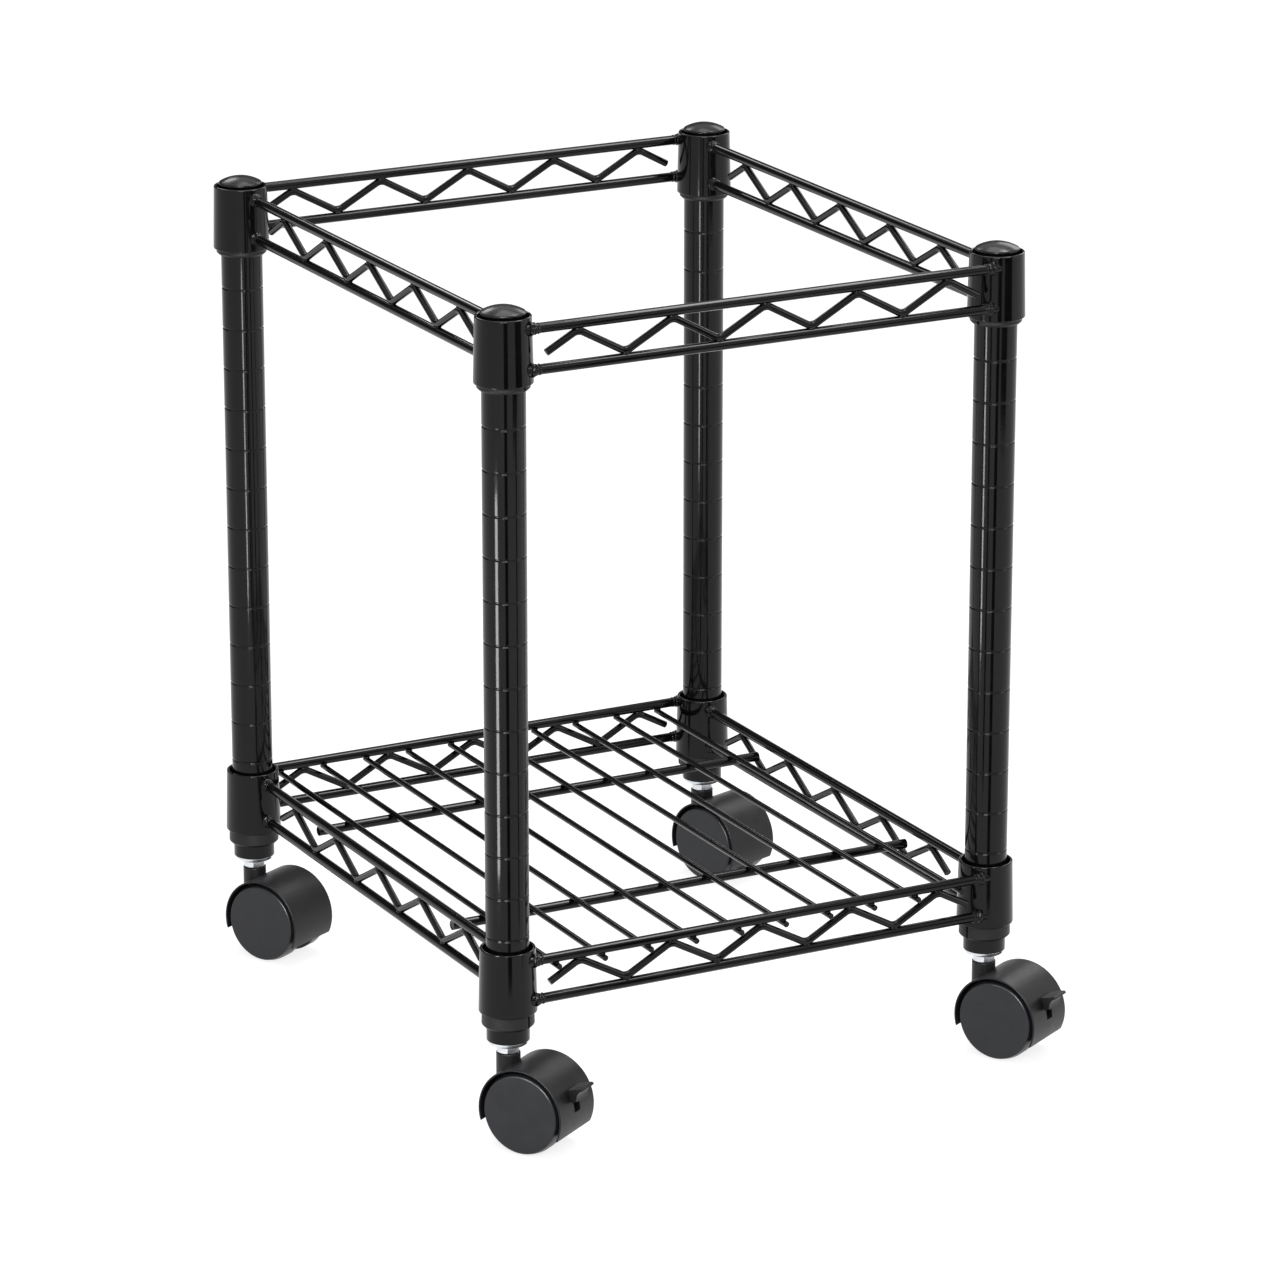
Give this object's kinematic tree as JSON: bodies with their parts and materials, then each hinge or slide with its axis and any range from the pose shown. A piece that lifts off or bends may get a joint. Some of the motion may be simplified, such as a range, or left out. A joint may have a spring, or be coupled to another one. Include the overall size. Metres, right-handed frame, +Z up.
{
  "type": "mobile file cart",
  "caption": "Open rolling file cart: grooved tube posts carry a wire top frame for hanging folders and a wire shelf, on swivelling twin-wheel casters with brake levers at the front.",
  "frame": {"origin": "middle of the whole cart's outline on the floor, casters as in the picture", "axes": "+X along the front from left to right, +Y from front to back, +Z up"},
  "size_m": [0.3824, 0.4262, 0.5008],
  "materials": {
    "powder_coat": "gloss black powder coat",
    "sleeve_plastic": "matte black plastic",
    "cap_plastic": "semi-gloss black plastic",
    "caster_plastic": "satin black plastic",
    "wheel_plastic": "satin black plastic",
    "chrome": "bright chrome",
    "axle_steel": "plain steel"
  },
  "bodies": {
    "frame": {"post_front_left": "powder_coat", "top_collar_front_left": "powder_coat", "shelf_collar_front_left": "powder_coat", "post_front_right": "powder_coat", "top_collar_front_right": "powder_coat", "shelf_collar_front_right": "powder_coat", "post_back_left": "powder_coat", "top_collar_back_left": "powder_coat", "shelf_collar_back_left": "powder_coat", "post_back_right": "powder_coat", "top_collar_back_right": "powder_coat", "shelf_collar_back_right": "powder_coat", "top_rail_front": "powder_coat", "top_rail_back": "powder_coat", "top_rail_left": "powder_coat", "top_rail_right": "powder_coat", "shelf_rail_front": "powder_coat", "shelf_rail_back": "powder_coat", "shelf_rail_left": "powder_coat", "shelf_rail_right": "powder_coat", "shelf_deck": "powder_coat", "top_sleeve_front_left": "sleeve_plastic", "shelf_sleeve_front_left": "sleeve_plastic", "top_sleeve_front_right": "sleeve_plastic", "shelf_sleeve_front_right": "sleeve_plastic", "top_sleeve_back_left": "sleeve_plastic", "shelf_sleeve_back_left": "sleeve_plastic", "top_sleeve_back_right": "sleeve_plastic", "shelf_sleeve_back_right": "sleeve_plastic", "cap_front_left": "cap_plastic", "cap_front_right": "cap_plastic", "cap_back_left": "cap_plastic", "cap_back_right": "cap_plastic", "stem_socket_front_left": "chrome", "stem_front_left": "chrome", "stem_socket_front_right": "chrome", "stem_front_right": "chrome", "stem_socket_back_left": "chrome", "stem_back_left": "chrome", "stem_socket_back_right": "chrome", "stem_back_right": "chrome"},
    "caster_front_left": {"hood_front_left": "caster_plastic", "axle_front_left": "axle_steel"},
    "wheel_front_left_near": {"wheel_front_left_near": "wheel_plastic"},
    "wheel_front_left_far": {"wheel_front_left_far": "wheel_plastic"},
    "brake_front_left": {"brake_lever_front_left": "caster_plastic"},
    "caster_front_right": {"hood_front_right": "caster_plastic", "axle_front_right": "axle_steel"},
    "wheel_front_right_near": {"wheel_front_right_near": "wheel_plastic"},
    "wheel_front_right_far": {"wheel_front_right_far": "wheel_plastic"},
    "brake_front_right": {"brake_lever_front_right": "caster_plastic"},
    "caster_back_left": {"hood_back_left": "caster_plastic", "axle_back_left": "axle_steel"},
    "wheel_back_left_near": {"wheel_back_left_near": "wheel_plastic"},
    "wheel_back_left_far": {"wheel_back_left_far": "wheel_plastic"},
    "caster_back_right": {"hood_back_right": "caster_plastic", "axle_back_right": "axle_steel"},
    "wheel_back_right_near": {"wheel_back_right_near": "wheel_plastic"},
    "wheel_back_right_far": {"wheel_back_right_far": "wheel_plastic"}
  },
  "joints": [
    {"name": "swivel_front_left", "type": "hinge", "parent": "frame", "child": "caster_front_left", "pos_m": [-0.16975, -0.16341, 0.05], "axis": [0, 0, 1], "continuous": true},
    {"name": "spin_front_left_near", "type": "hinge", "parent": "caster_front_left", "child": "wheel_front_left_near", "pos_m": [-0.15959, -0.17899, 0.025], "axis": [0.8377, 0.5461, 0], "continuous": true},
    {"name": "spin_front_left_far", "type": "hinge", "parent": "caster_front_left", "child": "wheel_front_left_far", "pos_m": [-0.15959, -0.17899, 0.025], "axis": [0.8377, 0.5461, 0], "continuous": true},
    {"name": "brake_front_left", "type": "hinge", "parent": "caster_front_left", "child": "brake_front_left", "pos_m": [-0.15413, -0.18737, 0.0295], "axis": [0.8377, 0.5461, 0], "range_deg": [0, 22]},
    {"name": "swivel_front_right", "type": "hinge", "parent": "frame", "child": "caster_front_right", "pos_m": [0.15145, -0.16341, 0.05], "axis": [0, 0, 1], "continuous": true},
    {"name": "spin_front_right_near", "type": "hinge", "parent": "caster_front_right", "child": "wheel_front_right_near", "pos_m": [0.16064, -0.17958, 0.025], "axis": [0.8695, 0.4939, 0], "continuous": true},
    {"name": "spin_front_right_far", "type": "hinge", "parent": "caster_front_right", "child": "wheel_front_right_far", "pos_m": [0.16064, -0.17958, 0.025], "axis": [0.8695, 0.4939, 0], "continuous": true},
    {"name": "brake_front_right", "type": "hinge", "parent": "caster_front_right", "child": "brake_front_right", "pos_m": [0.16558, -0.18828, 0.0295], "axis": [0.8695, 0.4939, 0], "range_deg": [0, 22]},
    {"name": "swivel_back_left", "type": "hinge", "parent": "frame", "child": "caster_back_left", "pos_m": [-0.16975, 0.19589, 0.05], "axis": [0, 0, 1], "continuous": true},
    {"name": "spin_back_left_near", "type": "hinge", "parent": "caster_back_left", "child": "wheel_back_left_near", "pos_m": [-0.16093, 0.17951, 0.025], "axis": [0.8805, 0.4741, 0], "continuous": true},
    {"name": "spin_back_left_far", "type": "hinge", "parent": "caster_back_left", "child": "wheel_back_left_far", "pos_m": [-0.16093, 0.17951, 0.025], "axis": [0.8805, 0.4741, 0], "continuous": true},
    {"name": "swivel_back_right", "type": "hinge", "parent": "frame", "child": "caster_back_right", "pos_m": [0.15145, 0.19589, 0.05], "axis": [0, 0, 1], "continuous": true},
    {"name": "spin_back_right_near", "type": "hinge", "parent": "caster_back_right", "child": "wheel_back_right_near", "pos_m": [0.15736, 0.17825, 0.025], "axis": [0.9483, 0.3173, 0], "continuous": true},
    {"name": "spin_back_right_far", "type": "hinge", "parent": "caster_back_right", "child": "wheel_back_right_far", "pos_m": [0.15736, 0.17825, 0.025], "axis": [0.9483, 0.3173, 0], "continuous": true}
  ]
}
